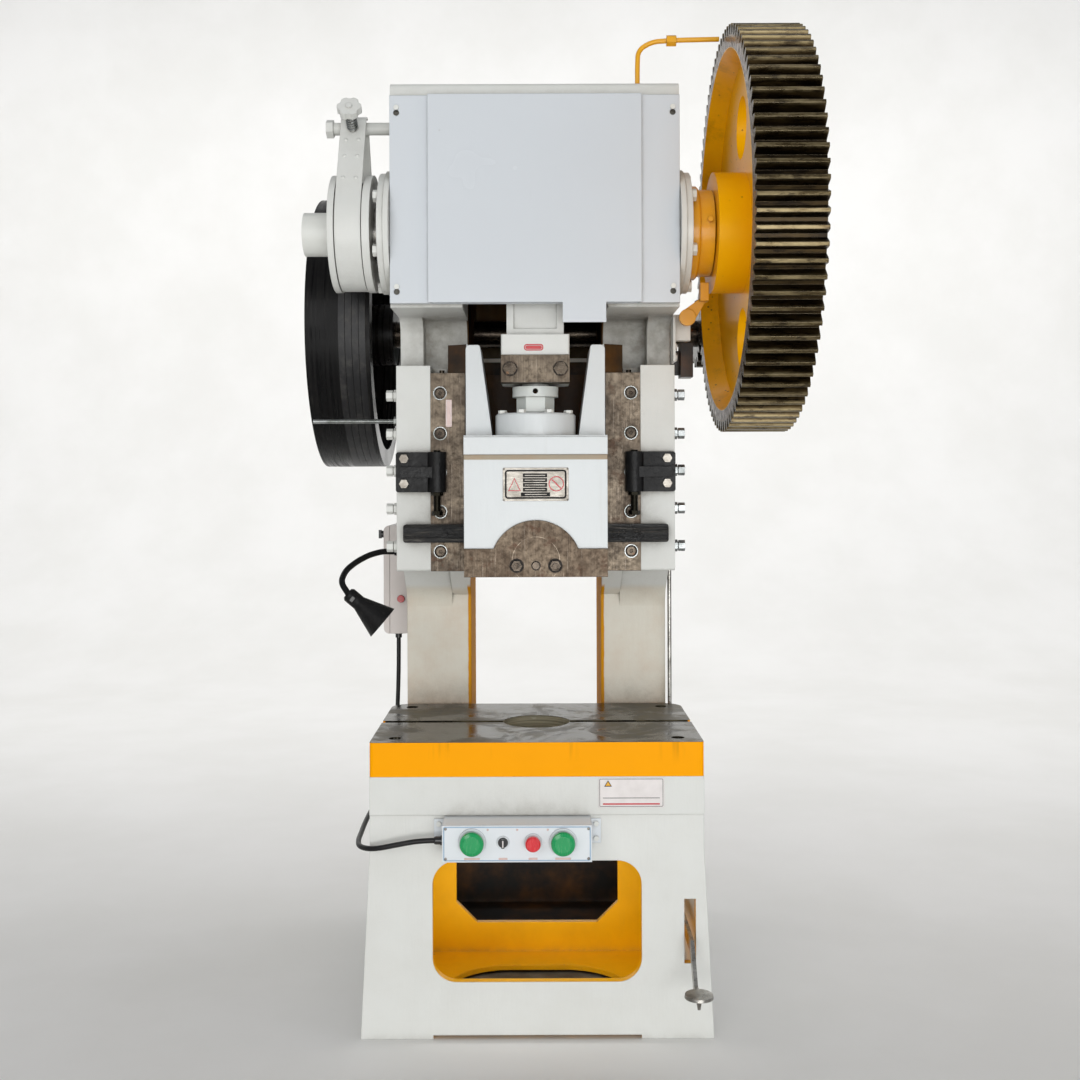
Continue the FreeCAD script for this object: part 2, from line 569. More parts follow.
def bearings():
    bushes = []
    for name, left in (("left", True), ("right", False)):
        seat, face = "head_half + boss_plate", "head_half + boss_plate + flange_plate"
        corners = [("inner_half", "journal + running_gap"), (face, "journal + running_gap"),
                   (face, "flange_radius"), (seat, "flange_radius"), (seat, "journal + bush_wall"),
                   ("inner_half", "journal + bush_wall")]
        if left:
            corners = [(f"-({a})", r) for a, r in corners]
        bush = turned(name + "_bush_blank", "x", (0, "crank_z"), corners)
        span = (f"-({face}) - 1", f"-({seat}) + 1") if left else (f"({seat}) - 1", f"({face}) + 1")
        holes = [rod(name + "_flange_hole", "x", span, across, "flange_bolt + seat_gap")
                 for across in flange_spots()]
        bushes.append(cut(name + "_crank_bush", bush, holes))
    bolts = []
    for across in flange_spots():
        bolts.append(bolt("flange_bolt", "x", "head_half + boss_plate + flange_plate", "head_half + 2",
                          across, "flange_bolt", "flange_head", "flange_head_high", "+"))
        bolts.append(bolt("flange_bolt", "x", "-head_half - boss_plate - flange_plate", "-head_half - 2",
                          across, "flange_bolt", "flange_head", "flange_head_high", "-"))
    fasteners["frame_bolts"] += bolts
    for name, sign in (("left", "-"), ("right", "")):
        corners = [("inner_half + 20", "shaft_radius + running_gap"),
                   ("head_half + shaft_flange_plate", "shaft_radius + running_gap"),
                   ("head_half + shaft_flange_plate", "shaft_flange"), ("head_half", "shaft_flange"),
                   ("head_half", "shaft_radius + shaft_bush_wall"),
                   ("inner_half + 20", "shaft_radius + shaft_bush_wall")]
        corners = [(f"{sign}({a})", r) for a, r in corners]
        bushes.append(turned(name + "_shaft_bush", "x", ("shaft_y", "shaft_z"), corners))
    keep(group("bearing_bushes", bushes))


def gibs():
    """The two guide bars with their V-grooves, front bolts, side adjusters and set screws."""
    groove = [("inner_half", "housing_front"), ("gib_half", "housing_front"),
              ("gib_half", "shoulder_front"), ("inner_half", "shoulder_front"),
              ("inner_half", "rail_y + rail_mouth"), ("rail_apex", "rail_y + rail_tip"),
              ("rail_apex", "rail_y - rail_tip"), ("inner_half", "rail_y - rail_mouth")]
    counterbores, holes, bolts, adjusters = [], [], [], []
    for z in GIB_BOLTS:
        counterbores.append(rod("gib_counterbore", "y", ("housing_front - 1", "housing_front + 8"),
                                ("gib_bolt_x", z), 13))
        holes.append(rod("gib_hole", "y", ("housing_front", "shoulder_front + 1"), ("gib_bolt_x", z), 7.7))
        for sign in ("", "-"):
            head = rod("gib_head", "y", ("housing_front + 1", "housing_front + 8"), (f"{sign}gib_bolt_x",
                                                                                     z), 10)
            shank = rod("gib_shank", "y", ("housing_front + 8", "shoulder_front + 30"),
                        (f"{sign}gib_bolt_x", z), 7.5)
            socket = hexagon("gib_socket", "y", ("housing_front", "housing_front + 6"),
                             (f"{sign}gib_bolt_x", z), 8)
            bolts.append(cut("gib_bolt", fuse("gib_bolt_blank", [head, shank]), [socket]))
    for sign in ("", "-"):
        bolts.append(rod("gib_set_screw", "z", ("gib_high", "gib_high + 9"), (f"{sign}216", 55), 6))
    for z in ADJUSTERS:
        for sign, low, high in (("+", "", ""), ("-", "-", "-")):
            spans = [("gib_half + slide_gap", "head_half + 27"), ("head_half", "head_half + 10"),
                     ("head_half + 12", "head_half + 27")]
            if sign == "-":
                spans = [(f"-({b})", f"-({a})") for a, b in spans]
            adjusters.append(fuse("adjuster", [
                rod("adjuster_shank", "x", spans[0], ("rail_y", z), 8),
                hexagon("adjuster_nut", "x", spans[1], ("rail_y", z), 24),
                hexagon("adjuster_head", "x", spans[2], ("rail_y", z), 22)]))
    bar = slab("gib_bar", "XY", ("gib_low", "gib_high"), [groove])
    right = keep(cut("right_gib", bar, counterbores + holes))
    keep(mirrored("left_gib", right))
    fasteners["socket_screws"] += bolts
    fasteners["adjuster_screws"] += adjusters


def stop_brackets():
    """Black brackets on the guide housing that carry the knock-out stop screws."""
    plate = slab("bracket_plate", "XZ", ("housing_front - 16", "housing_front"),
                 [[("stop_inner", "stop_low", 10), ("head_half", "stop_low", 6),
                   ("head_half", "stop_high", 6), ("stop_inner", "stop_high", 20)]])
    rib = block("bracket_rib", ("stop_x", "head_half - 10"), ("housing_front - 38", "housing_front - 15"),
                ("stop_low + 33", "stop_low + 57"))
    middle = "(bar_front + bar_back) / 2"
    boss = rod("bracket_boss", "z", ("stop_low", "stop_high"), ("stop_x", middle), "stop_boss")
    bore = rod("bracket_bore", "z", ("stop_low - 1", "stop_high + 1"), ("stop_x", middle),
               "8 + running_gap")
    bolt_heights = ("stop_bolt_low", "stop_bolt_high")
    holes = [rod("bracket_hole", "y", ("housing_front - 40", "housing_front + 1"), ("stop_bolt_x", z), 7.7)
             for z in bolt_heights]
    clearance = block("bracket_clearance", ("stop_inner - 5", "gib_half + 5"),
                      ("housing_front", "housing_front + 40"), ("stop_low - 3", "stop_high + 6"))
    right = cut("right_stop_bracket", fuse("bracket_blank", [plate, rib, boss]),
                [bore, clearance] + holes)
    keep(group("stop_brackets", [right, mirrored("left_stop_bracket", right)]))
    bolts, screws = [], []
    for sign in ("", "-"):
        for z in bolt_heights:
            bolts.append(bolt("bracket_bolt", "y", "housing_front - 16", "housing_front",
                              (f"{sign}stop_bolt_x", z), 7.5, 19, 8, "-"))
        spot = (f"{sign}stop_x", middle)
        screws.append(fuse("stop_screw", [
            rod("stop_shank", "z", ("stop_head + 10", "stop_high + 4"), spot, 8),
            hexagon("stop_nut", "z", ("stop_low - 8", "stop_low"), spot, 24),
            hexagon("stop_head_hexagon", "z", ("stop_head", "stop_head + 10"), spot, 22)]))
    fasteners["frame_bolts"] += bolts
    fasteners["adjuster_screws"] += screws


def small_frame_pieces():
    """Guard rod and oil pipe."""
    bar = rod("guard_bar", "x", (-515, "-head_half - 6"), (60, 1307), 5)
    foot = hexagon("guard_foot", "x", ("-head_half - 10", "-head_half"), (60, 1307), 19)
    keep(fuse("guard_rod", [bar, foot]))
    top = size("head_top")
    route = [Vector(x, y, top + rise) for x, y, rise in (
        (234, 0, 16), (234, 0, 58), (236, 2, 100), (268, 0, 118), (322, -4, 120), (419, -4, 122))]
    pipe = swept_route("pipe_run", route, 5.5)
    union = hexagon("pipe_union", "x", (300, 322), (-2, "head_top + 119.5"), 22)
    foot = hexagon("pipe_foot", "z", ("head_top", "head_top + 18"), (234, 0), 24)
    bore = rod("pipe_bore", "x", (299, 323), (-2, "head_top + 119.5"), 5)
    keep(fuse("oil_pipe", [pipe, cut("pipe_union_bored", union, [bore]), foot]))


# ---- Brake on the left ----

def brake():
    """A lined steel band round the drum, hung on an anchor stud and drawn tight by a sprung screw."""
    crank_z, stud_z = size("crank_z"), size("stud_z")
    inner, lining, band = size("drum_face") + 0.3, size("lining_wall"), size("band_wall")
    low, high = size("drum_lip_out") + size("band_edge"), size("drum_lip_in") - size("band_edge")

    def strap(radius, small):
        return Part.Face(loop_wire(low, (0, crank_z, radius), (0, stud_z, small)))

    width = Vector(high - low, 0, 0)
    strap_radius = size("strap_radius")
    loop = strap(inner + lining + band, strap_radius).extrude(width)
    loop = loop.cut(strap(inner + lining, strap_radius - band).extrude(width))
    gap = Part.makeBox(high - low + 2, 60, 34, Vector(low - 1, 6, stud_z - 4))
    lean = FreeCAD.Rotation(Vector(1, 0, 0), -90 - size("rod_lean"))
    knob = Vector((low + high) / 2, size("knob_y"), size("knob_z"))
    across = lean.multVec(Vector(0, 0, 1))
    screw_way = Part.makeCylinder(size("brake_rod") + 2, 112, knob, across)
    nut_spot = knob + across * 118
    lug = Part.makeBox(26, 22, 26, Vector(-13, -11, -13))
    lug.Placement = FreeCAD.Placement(nut_spot, lean)
    rear_way = Part.makeCylinder(size("brake_rod") + size("running_gap"), 60, knob + across * 95, across)
    rivets = [Part.makeSphere(5, Vector(low + share * (high - low), y, z))
              for share in (0.25, 0.75) for y, z in strap_rivets(inner + lining + band, strap_radius)]
    shape = loop.cut(gap).fuse([lug] + rivets).cut([screw_way, rear_way])
    shape = shape.cut(strap(inner + lining, strap_radius - band).extrude(width))
    keep(shaped("brake_band", shape.removeSplitter()))

    ring = Part.makeCylinder(inner + lining, high - low, Vector(low, 0, crank_z), Vector(1, 0, 0))
    ring = ring.cut(Part.makeCylinder(inner, high - low, Vector(low, 0, crank_z), Vector(1, 0, 0)))
    mouth = Part.makeBox(high - low, 150, 130, Vector(low, -75, crank_z + 40))
    keep(shaped("brake_lining", ring.cut(mouth)))

    keep(fuse("brake_stud", [rod("stud_bar", "x", ("stud_end", "-head_half"), (0, "stud_z"), "stud_radius"),
                             hexagon("stud_nut", "x", ("stud_end - 16", "stud_end"), (0, "stud_z"), 36)]))
    handle = Part.makeCylinder(size("knob_radius"), size("knob_high"), Vector(0, 0, -size("knob_high")))
    reach = size("knob_radius") + 6
    scallops = [Part.makeCylinder(10, size("knob_high") + 2,
                                  Vector(reach * math.cos(turn), reach * math.sin(turn),
                                         -size("knob_high") - 1))
                for turn in (math.tau * (step + 0.5) / 6 for step in range(6))]
    handle = handle.cut(scallops)
    hub = Part.makeCylinder(13, 12, Vector(0, 0, 0))
    end = Part.makeCylinder(7, 4, Vector(0, 0, -size("knob_high") - 4))
    stem = Part.makeCylinder(size("brake_rod"), 140, Vector(0, 0, 0))
    screw = handle.fuse([hub, end, stem]).removeSplitter()
    screw.Placement = FreeCAD.Placement(knob, lean)
    keep(shaped("brake_screw", screw))

    turns, pitch = 5, size("spring_pitch")
    helix = Part.makeHelix(pitch, turns * pitch, size("spring_radius"))
    section = Part.Wire(Part.makeCircle(size("spring_wire"), Vector(size("spring_radius"), 0, 0),
                                        Vector(0, 1, 0)))
    spring = Part.Wire(helix).makePipeShell([section], True, True)
    spring.Placement = FreeCAD.Placement(knob + across * 14.5, lean)
    keep(shaped("brake_spring", spring))


def strap_rivets(radius, small):
    """Rivet spots (y, z) on the outside of the front strap."""
    gap = size("stud_z") - size("crank_z")
    lean = math.asin((radius - small) / gap)
    spots = []
    for rise in (60, 120, 165):
        foot = Vector(0, -radius * math.cos(lean), size("crank_z") + radius * math.sin(lean))
        spots.append((foot.y + rise * math.sin(lean) + 2.4 * math.cos(lean),
                      foot.z + rise * math.cos(lean) - 2.4 *
                      math.sin(lean)))
    return spots


# ---- Crankshaft, clutch and trip ----

def crank_line():
    """Crankshaft with its two discs and offset pin, brake drum, pin bush and clutch rings."""
    body = [rod("crank_left", "x", ("drum_out", "-web_in"), (0, "crank_z"), "journal"),
            rod("crank_stub", "x", ("left_end", "drum_out + 1"), (0, "crank_z"), "left_stub"),
            rod("crank_right", "x", ("web_in", "ring_out"), (0, "crank_z"), "journal"),
            rod("crank_gear_seat", "x", ("ring_out - 1", "right_end"), (0, "crank_z"), "gear_seat"),
            rod("crank_disc_left", "x", ("-web_out", "-web_in"), (0, "crank_z"), "web_radius"),
            rod("crank_disc_right", "x", ("web_in", "web_out"), (0, "crank_z"), "web_radius"),
            rod("crank_pin", "x", ("-web_in - 1", "web_in + 1"), (0, "crank_z + throw"), "pin_radius")]
    centre = cone("left_centre", "x", ("left_end - 1", "left_end + 8"), (0, "crank_z"), (10, 2))
    keep(cut("crankshaft", fuse("crank_blank", body), [centre]))
    keep(turned("crank_pin_bush", "x", (0, "crank_z + throw"),
                [("-big_end_half - 3", "pin_radius"), ("big_end_half + 3", "pin_radius"),
                 ("big_end_half + 3", "pin_radius + pin_bush_wall"),
                 ("-big_end_half - 3", "pin_radius + pin_bush_wall")]))
    keep(turned("brake_drum", "x", (0, "crank_z"),
                [("drum_out", "journal"), ("drum_in", "journal"), ("drum_in", "drum_flange"),
                 ("drum_lip_in", "drum_flange"), ("drum_lip_in", "drum_face"),
                 ("drum_lip_out", "drum_face"), ("drum_lip_out", "drum_flange"),
                 ("drum_out", "drum_flange")]))
    inner = turned("clutch_inner_ring", "x", (0, "crank_z"),
                   [("ring_in", "journal"), ("ring_mid", "journal"), ("ring_mid", "ring_one - 4"),
                    ("ring_mid - 4", "ring_one"), ("ring_in", "ring_one")])
    ring = turned("clutch_ring_blank", "x", (0, "crank_z"),
                  [("ring_mid", "journal"), ("ring_out", "journal"), ("ring_out", "ring_two"),
                   ("ring_mid", "ring_two")])
    nipple = rod("clutch_nipple", "y", ("-ring_two - 12", "-ring_two + 12"), ("ring_out - 12",
                                                                              "crank_z + 12"),
                 6)
    nut = fuse("gear_nut_blank", [
        hexagon("gear_nut", "x", ("gear_out + 8", "right_end - 3"), (0, "crank_z"), 110),
        rod("gear_washer", "x", ("gear_out + free_gap", "gear_out + 9"), (0, "crank_z"), 70)])
    nut_bore = rod("gear_nut_bore", "x", ("gear_out", "right_end"), (0, "crank_z"), "gear_seat")
    keep(group("crank_rings", [inner, fuse("clutch_outer_ring", [ring, nipple]),
                               cut("gear_end_ring", nut, [nut_bore])]))


def trip():
    """Trip lever with its dog under the clutch, the shaft it turns on, and what pulls it."""
    shaft = rod("trip_shaft_bar", "y", ("trip_front", "trip_back"), ("trip_x", "trip_z"), "trip_shaft")
    disc = rod("trip_disc", "y", ("trip_front - 14", "trip_front"), ("trip_x", "trip_z"), 19)
    arm = slab("trip_arm", "XZ", ("trip_front - 12", "trip_front - 2"),
               [[("trip_x - 16", "trip_z - 6"), ("trip_x + 12", "trip_z - 14"), ("dog_right - 4",
                                                                                 "dog_low + 2"),
                 ("dog_left + 2", "dog_low + 8"), ("trip_x - 6", "trip_z + 18")]])
    dog = block("trip_dog", ("dog_left", "dog_right"), ("trip_front - 30", "trip_front + 2"),
                ("dog_low", "dog_high"))
    crank = slab("trip_crank", "XZ", ("link_y - 4", "link_y + 4"),
                 [[("link_x - 8", "trip_z - 9", 6), ("solenoid_x + 8", "trip_z - 9", 6),
                   ("solenoid_x + 8", "trip_z + 9", 6), ("link_x - 8", "trip_z + 9", 6)]])
    eye = rod("trip_eye", "y", ("link_y - 5", "link_y + 5"), ("link_x", "trip_z"), 3.6)
    keep(cut("trip_lever", fuse("trip_blank", [shaft, disc, arm, dog, crank]), [eye]))

    post = block("trip_post", ("head_half", "trip_x + 14"), (60, 84), ("trip_z - 46", "trip_z + 14"))
    base = block("trip_base", ("head_half", "head_half + 6"), (44, 100), ("trip_z - 96", "trip_z + 8"))
    bore = rod("trip_bore", "y", (59, 85), ("trip_x", "trip_z"), "trip_shaft + running_gap")
    bolts = [bolt("trip_base_bolt", "x", "head_half + 6", "head_half", (72, f"trip_z - {drop}"), 5, 16, 6,
                  "+")
             for drop in (60, 84)]
    bracket = cut("trip_post_bored", fuse("trip_bracket_blank", [post, base] + bolts), [bore])

    link = rod("pull_bar", "z", ("link_low + 2", "trip_z - 22"), ("link_x", "link_y"), "link_radius")
    fork = block("pull_fork", ("link_x - 6", "link_x + 6"), ("link_y - 11", "link_y + 11"),
                 ("trip_z - 26", "trip_z + 7"))
    gap = block("pull_fork_gap", ("link_x - 7", "link_x + 7"), ("link_y - 4.6", "link_y + 4.6"),
                ("trip_z - 17", "trip_z + 8"))
    pin = rod("pull_pin", "y", ("link_y - 13", "link_y + 13"), ("link_x", "trip_z"), 2.8)
    foot = block("pull_foot", ("link_x - 3", "link_x + 5"), ("link_y - 12", "link_y + 12"),
                 ("link_low - 26", "link_low + 4"))
    slot = block("pull_slot", ("link_x - 4", "link_x + 6"), ("link_y - 7", "link_y + 7"),
                 ("link_low - 20", "link_low - 8"))
    keep(cut("pull_rod", fuse("pull_blank", [cut("pull_fork_cut", fork, [gap]), link, pin, foot]), [slot]))

    case = block("solenoid_case", ("solenoid_x - 15", "solenoid_x + 15"), ("link_y - 28", "link_y + 28"),
                 ("trip_z - 118", "trip_z - 34"))
    arm = block("solenoid_arm", ("head_half", "solenoid_x - 14"), ("link_y + 16", "link_y + 28"),
                ("trip_z - 110", "trip_z - 50"))
    way = rod("solenoid_way", "z", ("trip_z - 100", "trip_z - 33"), ("solenoid_x", "link_y"),
              "5 + running_gap")
    keep(group("trip_bracket", [bracket, cut("solenoid", fuse("solenoid_blank", [case, arm]), [way])]))
    stem = rod("plunger_stem", "z", ("trip_z - 90", "trip_z - 16"), ("solenoid_x", "link_y"), 5)
    tip = cone("plunger_tip", "z", ("trip_z - 18", "trip_z - 9.4"), ("solenoid_x", "link_y"), (7, 3))
    keep(fuse("solenoid_plunger", [stem, tip]))


def pedal():
    """A flat lever on the pivot inside the base, with a round tread and its stop pin in front."""
    bar = slab("pedal_bar", "YZ", ("slot_x - pedal_wall / 2", "slot_x + pedal_wall / 2"),
               [[("tread_y - 4", "tread_z - 20"), ("base_front - 84", "tread_z - 20"),
                 ("base_front - 26", "pedal_z - 14"), ("pedal_y + 22", "pedal_z - 14", 12),
                 ("pedal_y + 22", "pedal_z + 14", 12), ("base_front - 38", "pedal_z + 14"),
                 ("base_front - 96", "tread_z - 2"), ("tread_y - 4", "tread_z - 5")]])
    bore = rod("pedal_bore", "x", ("slot_x - 20", "slot_x + 20"), ("pedal_y", "pedal_z"),
               "pedal_pin + running_gap")
    tread = cone("pedal_tread", "z", ("tread_z - 6", "tread_z"), ("slot_x", "tread_y"),
                 ("tread_radius", "tread_radius - 1"))
    pin = cone("pedal_point", "z", ("tread_z - 30", "tread_z - 5"), ("slot_x", "tread_y"), (3, 7))
    stud = rod("pedal_stud", "x", ("slot_x - 8", "link_x + 7"), ("link_y", "link_low - 14"), 5)
    washer = rod("pedal_washer", "x", ("slot_x - 9", "slot_x"), ("link_y", "link_low - 14"), 9)
    keep(cut("pedal_lever", fuse("pedal_blank", [bar, tread, pin, stud, washer]), [bore]))


# ---- Gears, flywheel, motor and belts ----

def gear_outline(teeth, phase, play):
    """The involute outline of a 20 degree gear in the XY plane, one tooth centred on the phase."""
    module = size("gear_module")
    pitch, outer, root = module * teeth / 2, module * (teeth / 2 + 1), module * (teeth / 2 - 1.25)
    base = pitch * math.cos(math.radians(20))
    lowest = max(base, root)

    def involute(radius):
        steep = math.sqrt((radius / base) ** 2 - 1)
        return steep - math.atan(steep)

    half_pitch = (math.pi * module / 2 - play) / (2 * pitch)

    def half_angle(radius):
        return half_pitch + involute(pitch) - involute(radius)

    def at(radius, angle):
        return Vector(radius * math.cos(angle), radius * math.sin(angle), 0)

    radii = [lowest + (outer - lowest) * share for share in (0, 0.2, 0.45, 0.7, 1)]
    edges = []
    for tooth in range(teeth):
        middle = phase + math.tau * tooth / teeth
        after = middle + math.tau / teeth
        rising = [at(r, middle - half_angle(r)) for r in radii]
        falling = [at(r, middle + half_angle(r)) for r in reversed(radii)]
        for points in (rising, falling):
            flank = Part.BSplineCurve()
            flank.interpolate(points)
            edges.append(flank.toShape())
        edges.insert(-1, Part.Arc(rising[-1], at(outer, middle), falling[0]).toShape())
        foot, next_foot = middle + half_angle(lowest), after - half_angle(lowest)
        if root < lowest - 1e-6:
            edges.append(Part.LineSegment(at(lowest, foot), at(root, foot)).toShape())
        edges.append(Part.Arc(at(root, foot), at(root, (foot + next_foot) / 2), at(root,
                                                                                   next_foot)).toShape())
        if root < lowest - 1e-6:
            edges.append(Part.LineSegment(at(root, next_foot), at(lowest, next_foot)).toShape())
    return Part.Wire(Part.__sortEdges__(edges))


def toothed(teeth, phase, spot):
    """A gear blank along X between the gear's two faces."""
    width = size("gear_out") - size("gear_in")
    solid = Part.Face(gear_outline(teeth, phase, size("tooth_play"))).extrude(Vector(0, 0, width))
    turn = FreeCAD.Placement(Vector(size("gear_in"), *spot),
                             FreeCAD.Rotation(Vector(0, 1, 0), Vector(0, 0, 1), Vector(1, 0, 0), "XYZ"))
    solid.Placement = turn
    return solid


def gear_train():
    """The bull gear on the crank and the pinion behind it, in mesh on the line between their axes."""
    gear_at, pinion_at = (0, size("crank_z")), (size("shaft_y"), size("shaft_z"))
    heading = math.atan2(pinion_at[1] - gear_at[1], pinion_at[0] - gear_at[0])
    blank = shaped("gear_blank", toothed(int(size("gear_teeth")), heading, gear_at))
    hub = rod("gear_hub_bar", "x", ("gear_hub_in", "gear_out"), (0, "crank_z"), "gear_hub")
    rooms = [turned("gear_room_left", "x", (0, "crank_z"),
                    [("gear_in - 1", "gear_hub"), ("web_left", "gear_hub"), ("web_left", "gear_rim_thin"),
                     ("gear_in - 1", "gear_rim")]),
             turned("gear_room_right", "x", (0, "crank_z"),
                    [("web_right", "gear_hub"), ("gear_out + 1", "gear_hub"), ("gear_out + 1", "gear_rim"),
                     ("web_right", "gear_rim_thin")])]
    holes = [rod("gear_window", "x", ("web_left - 2", "web_right + 2"),
                 (f"gear_holes_at * cos({turn} deg)", f"crank_z + gear_holes_at * sin({turn} deg)"),
                 "gear_hole") for turn in (0, 90, 180, 270)]
    bore = rod("gear_bore", "x", ("gear_hub_in - 1", "gear_out + 1"), (0, "crank_z"),
               "gear_seat + gear_bush_wall")
    gear = cut("gear_wheel", fuse("gear_with_hub", [cut("gear_hollowed", blank, rooms), hub]),
               holes + [bore])
    bush = turned("gear_bush", "x", (0, "crank_z"),
                  [("gear_hub_in", "gear_seat + running_gap"), ("gear_out", "gear_seat + running_gap"),
                   ("gear_out", "gear_seat + gear_bush_wall"),
                   ("gear_hub_in", "gear_seat + gear_bush_wall")])
    keep(group("bull_gear", [gear, bush]))

    teeth = int(size("pinion_teeth"))
    facing = heading + math.pi + math.pi / teeth
    pinion = shaped("pinion_blank", toothed(teeth, facing, pinion_at))
    pinion_bore = rod("pinion_bore_way", "x", ("gear_in - 1", "gear_out + 1"), ("shaft_y", "shaft_z"),
                      "shaft_radius")
    keep(cut("pinion", pinion, [pinion_bore]))
    keep(rod("pinion_shaft", "x", ("shaft_left", "shaft_right"), ("shaft_y", "shaft_z"), "shaft_radius"))


def groove_points(radius):
    """The four V-grooves cut in a rim, as section corners from left to right."""
    corners = []
    for step in range(4):
        middle = f"groove_first + {step} * groove_pitch"
        corners += [(f"{middle} - groove_top / 2", radius), (f"{middle} - groove_base / 2",
                                                             f"{radius} - groove_deep"),
                    (f"{middle} + groove_base / 2", f"{radius} - groove_deep"),
                    (f"{middle} + groove_top / 2", radius)]
    return corners


def flywheel():
    rim_in = "wheel_radius - wheel_rim"
    corners = [("wheel_out", "wheel_radius")] + groove_points("wheel_radius")
    corners += [("wheel_in", "wheel_radius"), ("wheel_in", rim_in), ("wheel_in - 60 - wheel_web / 2",
                                                                     rim_in),
                ("wheel_in - 60 - wheel_web / 2", "wheel_hub"), ("wheel_hub_in", "wheel_hub"),
                ("wheel_hub_in", "shaft_radius"), ("wheel_out", "shaft_radius"), ("wheel_out", "wheel_hub"),
                ("wheel_in - 60 - wheel_web * 1.5", "wheel_hub"), ("wheel_in - 60 - wheel_web * 1.5",
                                                                   rim_in),
                ("wheel_out", rim_in)]
    wheel = turned("wheel_blank", "x", ("shaft_y", "shaft_z"), corners)
    balance = rod("balance_hole", "x", ("wheel_out - 1", "wheel_out + 25"),
                  ("shaft_y - wheel_radius + 22", "shaft_z"), 6)
    keep(cut("flywheel", wheel, [balance]))


def motor():
    """Motor on a shelf behind the head, with its grooved pulley in line with the flywheel's grooves."""
    shell = rod("motor_shell", "x", ("motor_left", "motor_right"), ("motor_y", "shaft_z"), "motor_radius")
    ends = [cone("motor_nose", "x", ("motor_left - 26", "motor_left"), ("motor_y", "shaft_z"),
                 (70, "motor_radius - 6")),
            rod("motor_fan_cover", "x", ("motor_right", "motor_right + 60"), ("motor_y", "shaft_z"),
                "motor_radius - 8"),
            block("motor_feet", ("motor_left + 60", "motor_right - 60"), ("motor_y - 110", "motor_y + 110"),
                  ("motor_foot_z", "motor_foot_z + 40")),
            block("motor_terminals", (-130, -10), ("motor_y + 60", "motor_y + 175"),
                  ("shaft_z - 10", "shaft_z + 90"))]
    fins = [block("motor_fin", ("motor_left + 12", "motor_right - 12"), (f"motor_y - {half}",
                                                                         f"motor_y + {half}"),
                  (f"shaft_z + {rise} - 2", f"shaft_z + {rise} + 2"))
            for rise, half in ((-100, 92), (-75, 116), (-50, 128), (-25, 137), (0, 139), (25, 137), (50,
                                                                                                     128),
                               (75, 116), (100, 92), (122, 62))]
    bore = rod("motor_bore", "x", ("motor_left - 27", "motor_right - 20"), ("motor_y", "shaft_z"),
               "motor_shaft + running_gap")
    keep(cut("motor", fuse("motor_blank", [shell] + ends + fins), [bore]))
    shelf = block("shelf_top", ("-shelf_half - 110", "shelf_half"), ("head_back", "shelf_back"),
                  ("motor_foot_z - shelf_plate", "motor_foot_z"))
    back = block("shelf_back_plate", ("-head_half + 20", "head_half - 20"), ("head_back", "head_back + 18"),
                 ("motor_foot_z - shelf_plate", "motor_foot_z + 160"))
    gussets = [slab("shelf_gusset", "YZ", (f"{x}", f"{x} + 16"),
                    [[("head_back", "motor_foot_z - shelf_plate"), ("head_back", "tail_low + 4"),
                      ("head_back + 20", "tail_low + 4"), ("shelf_back - 20", "motor_foot_z")]])
               for x in ("-shelf_half - 90", "shelf_half - 36")]
    holes = [rod("shelf_bolt_hole", "y", ("head_back - 1", "head_back + 19"), across, 8.2)
             for across in shelf_spots()]
    keep(cut("motor_shelf", fuse("shelf_blank", [shelf, back] + gussets), holes))
    fasteners["frame_bolts"] += [bolt("shelf_bolt", "y", "head_back + 18", "head_back - 36", across, 8, 24,
                                      10, "+") for across in shelf_spots()]
    shaft = rod("motor_shaft_bar", "x", ("groove_first - 12", "motor_right - 24"), ("motor_y", "shaft_z"),
                "motor_shaft")
    shaft = cut("motor_shaft_centred", shaft, [cone("shaft_centre", "x", ("groove_first - 13",
                                                                          "groove_first - 6"),
                                                    ("motor_y", "shaft_z"), (6, 2))])
    corners = [("groove_first - 14", "motor_pulley")] + groove_points("motor_pulley")
    corners += [("groove_first + 3 * groove_pitch + 14", "motor_pulley"),
                ("groove_first + 3 * groove_pitch + 14", 34), ("motor_left - 40", 34),
                ("motor_left - 40", "motor_shaft"), ("groove_first - 14", "motor_shaft")]
    pulley = turned("belt_pulley", "x", ("motor_y", "shaft_z"), corners)
    keep(group("motor_pulley", [shaft, pulley]))


def belts():
    """Four separate V-belts; each runs a little clear of the groove's walls."""
    play, high = size("belt_play"), size("belt_high")
    slope = (size("groove_top") - size("groove_base")) / 2 / size("groove_deep")
    top = size("groove_top") / 2 - play
    base = top - slope * high
    loops = []
    for step in range(4):
        x = size("groove_first") + step * size("groove_pitch")
        path = loop_wire(x, (size("shaft_y"), size("shaft_z"), size("wheel_radius") - high / 2),
                         (size("motor_y"), size("shaft_z"), size("motor_pulley") - high / 2))
        start = path.OrderedVertexes[0].Point
        line = path.OrderedEdges[0]
        along = line.tangentAt(line.FirstParameter)
        out = along.cross(Vector(1, 0, 0)).normalize()
        if out.dot(start - Vector(x, size("shaft_y"), size("shaft_z"))) < 0:
            out = out * -1
        side = Vector(1, 0, 0)
        spots = [start + out * (high / 2) + side * top, start + out * (high / 2) - side * top,
                 start - out * (high / 2) - side * base, start - out * (high / 2) + side * base]
        section = Part.makePolygon(spots + spots[:1])
        loops.append(path.makePipeShell([section], True, False))
        print("belt volume share", round(loops[-1].Volume / ((top + base) * high * path.Length), 4))
    keep(shaped("drive_belts", Part.makeCompound(loops)))


# ---- Slide: connecting rod, screw, ram and knock-out ----

